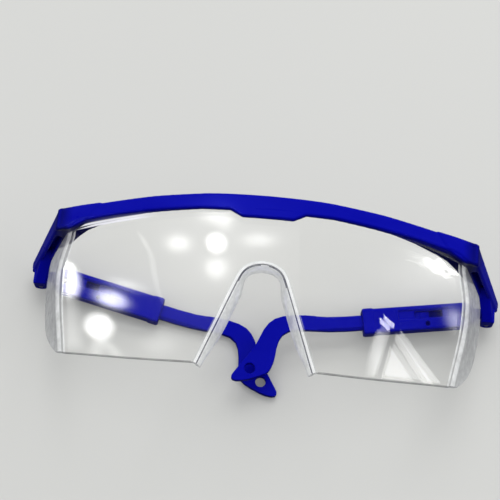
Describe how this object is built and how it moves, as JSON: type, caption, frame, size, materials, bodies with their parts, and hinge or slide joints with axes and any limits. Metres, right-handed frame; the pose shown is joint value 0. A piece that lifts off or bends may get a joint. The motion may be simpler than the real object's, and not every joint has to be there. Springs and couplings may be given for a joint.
{
  "type": "safety glasses",
  "caption": "Clear one-piece wrap lens with side shields and moulded nose flange in a blue brow bar, with folding, tilting and telescoping hooked temples.",
  "frame": {"origin": "centre of the bounding box's base, on the plane the folded glasses lie on", "axes": "+X from the left hinge to the right hinge as drawn, +Y towards the wearer's brow, +Z out of the front of the lens"},
  "size_m": [0.1644, 0.0582, 0.0521],
  "materials": {
    "blue_plastic": "deep blue injection-moulded plastic, semi-gloss with faint flow marks",
    "clear_polycarbonate": "clear transparent polycarbonate, polished",
    "pin_steel": "plain drawn steel wire pin"
  },
  "bodies": {
    "front": {"brow_bar": "blue_plastic", "lens": "clear_polycarbonate", "left_hinge_pin": "pin_steel", "right_hinge_pin": "pin_steel"},
    "left_link": {"left_hinge_link": "blue_plastic", "left_tilt_pin": "pin_steel"},
    "left_sleeve": {"left_temple_sleeve": "blue_plastic"},
    "left_slider": {"left_ear_slider": "blue_plastic"},
    "right_link": {"right_hinge_link": "blue_plastic", "right_tilt_pin": "pin_steel"},
    "right_sleeve": {"right_temple_sleeve": "blue_plastic"},
    "right_slider": {"right_ear_slider": "blue_plastic"}
  },
  "joints": [
    {"name": "left_fold", "type": "hinge", "parent": "front", "child": "left_link", "pos_m": [-0.0786, 0.00911, 0.00573], "axis": [0, 1, 0], "range_deg": [0, 84]},
    {"name": "left_tilt", "type": "hinge", "parent": "left_link", "child": "left_sleeve", "pos_m": [-0.07042, 0.00781, 0.00516], "axis": [-0.0698, 0, -0.9976], "range_deg": [-8, 8]},
    {"name": "left_length", "type": "slide", "parent": "left_sleeve", "child": "left_slider", "axis": [0.9768, -0.2028, -0.0683], "range_m": [-0.004, 0.01]},
    {"name": "right_fold", "type": "hinge", "parent": "front", "child": "right_link", "pos_m": [0.0786, 0.00911, 0.00573], "axis": [0, -1, 0], "range_deg": [0, 90]},
    {"name": "right_tilt", "type": "hinge", "parent": "right_link", "child": "right_sleeve", "pos_m": [0.07041, 0.00781, 0.00609], "axis": [0.0436, 0, 0.999], "range_deg": [-5, 10]},
    {"name": "right_length", "type": "slide", "parent": "right_sleeve", "child": "right_slider", "axis": [-0.9839, -0.1736, 0.043], "range_m": [-0.004, 0.01]}
  ],
  "couplings": [
    {"joint": "right_fold", "follows": "left_fold", "ratio": 1.0714}
  ]
}
